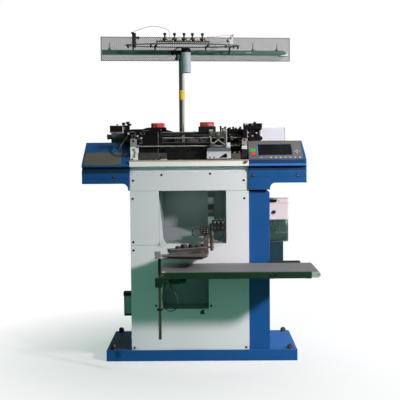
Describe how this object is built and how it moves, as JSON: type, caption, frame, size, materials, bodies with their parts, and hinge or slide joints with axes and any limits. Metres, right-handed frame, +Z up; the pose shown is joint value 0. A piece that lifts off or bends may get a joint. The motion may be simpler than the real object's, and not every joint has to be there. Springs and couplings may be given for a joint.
{
  "type": "glove knitting machine",
  "caption": "Automatic V-bed glove knitting machine on a white cabinet, with blue consoles, yarn creel on a mast, take-off clamp and discharge conveyor.",
  "frame": {"origin": "centre of the base frame's underside, on the floor", "axes": "+X to the machine's right seen from its front, +Y to the back, +Z up; the control panel faces -Y"},
  "size_m": [1.381, 0.982, 2.0525],
  "materials": {
    "white_paint": "satin",
    "blue_paint": "satin",
    "base_paint": "satin",
    "zinc_steel": "satin",
    "dark_steel": "satin",
    "cast_iron": "matte",
    "black_paint": "satin",
    "grey_paint": "satin",
    "liner_grey": "matte",
    "aluminium": "satin",
    "chrome": "polished",
    "green_paint": "satin",
    "dark_green_paint": "satin",
    "belt": "matte",
    "black_plastic": "matte",
    "bezel_film": "matte",
    "screen_glass": "polished",
    "green_plastic": "gloss",
    "red_plastic": "gloss",
    "grey_plastic": "matte",
    "clear_plastic": "polished",
    "white_plastic": "satin",
    "hose_plastic": "satin",
    "bottle_plastic": "satin",
    "cover_paint": "satin"
  },
  "bodies": {
    "machine": {"base_frame": "base_paint", "levelling_bolts": "dark_steel", "cabinet_shell": "white_paint", "front_panel": "white_paint", "upper_door": "white_paint", "chute_liner": "liner_grey", "recess_liner": "liner_grey", "right_column": "blue_paint", "bed_castings": "cast_iron", "needle_beds": "dark_steel", "needles": "zinc_steel", "header_cover": "white_paint", "ledge_strip": "zinc_steel", "left_console": "blue_paint", "right_console": "blue_paint", "control_bezel": "bezel_film", "screen": "screen_glass", "end_brackets": "aluminium", "guide_rails": "dark_steel", "drive_housing": "black_paint", "right_end_frame": "black_paint", "red_caps": "red_plastic", "gearbox": "grey_paint", "drive_motor": "black_paint", "right_actuator": "black_paint", "mast": "chrome", "rear_cover": "cover_paint", "creel_beam": "green_paint", "yarn_screen": "green_paint", "ring_frame": "green_paint", "tension_units": "zinc_steel", "guide_wires": "zinc_steel", "oil_bottle": "bottle_plastic", "oiler_bracket": "blue_paint", "oiler_reservoir": "clear_plastic", "oiler_cover": "white_plastic", "junction_box": "grey_plastic", "guide_column": "aluminium", "valve_block": "black_paint", "grip_bracket": "zinc_steel", "lower_tray": "zinc_steel", "conveyor_frame": "dark_green_paint", "roller_plates": "aluminium", "conveyor_belt": "belt", "conveyor_motor": "black_paint", "conveyor_post": "aluminium", "motor_cable": "black_plastic", "loop_hose": "hose_plastic", "drop_hose": "hose_plastic", "head_cable_1": "black_plastic", "head_cable_2": "black_plastic"},
    "carriage": {"carriage_bridge": "grey_paint", "cam_plate": "aluminium"},
    "front_feeder": {"feeder_1": "black_paint"},
    "rear_feeder": {"feeder_2": "black_paint"},
    "start_button": {"start_key": "green_plastic"},
    "stop_button": {"stop_key": "red_plastic"},
    "clamp": {"upper_clamp": "zinc_steel"},
    "left_roller": {"drive_roller": "zinc_steel"},
    "right_roller": {"idler_roller": "zinc_steel"}
  },
  "joints": [
    {"name": "carriage_slide", "type": "slide", "parent": "machine", "child": "carriage", "axis": [1, 0, 0], "range_m": [-0.4, 0.065]},
    {"name": "front_feeder_slide", "type": "slide", "parent": "machine", "child": "front_feeder", "axis": [1, 0, 0], "range_m": [-0.4, 0.05]},
    {"name": "rear_feeder_slide", "type": "slide", "parent": "machine", "child": "rear_feeder", "axis": [1, 0, 0], "range_m": [-0.44, 0.02]},
    {"name": "start_press", "type": "slide", "parent": "machine", "child": "start_button", "axis": [0, 0.522, -0.8529], "range_m": [0, 0.0015], "stiffness_N_per_m": 600, "springref_m": -0.001},
    {"name": "stop_press", "type": "slide", "parent": "machine", "child": "stop_button", "axis": [0, 0.522, -0.8529], "range_m": [0, 0.0015], "stiffness_N_per_m": 600, "springref_m": -0.001},
    {"name": "clamp_lift", "type": "slide", "parent": "machine", "child": "clamp", "axis": [0, 0, 1], "range_m": [0, 0.02]},
    {"name": "drive_roller_spin", "type": "hinge", "parent": "machine", "child": "left_roller", "pos_m": [-0.216, -0.488, 0.583], "axis": [0, 1, 0], "continuous": true},
    {"name": "idler_roller_spin", "type": "hinge", "parent": "machine", "child": "right_roller", "pos_m": [0.652, -0.488, 0.583], "axis": [0, 1, 0], "continuous": true}
  ],
  "couplings": [
    {"joint": "idler_roller_spin", "follows": "drive_roller_spin", "ratio": 1}
  ]
}
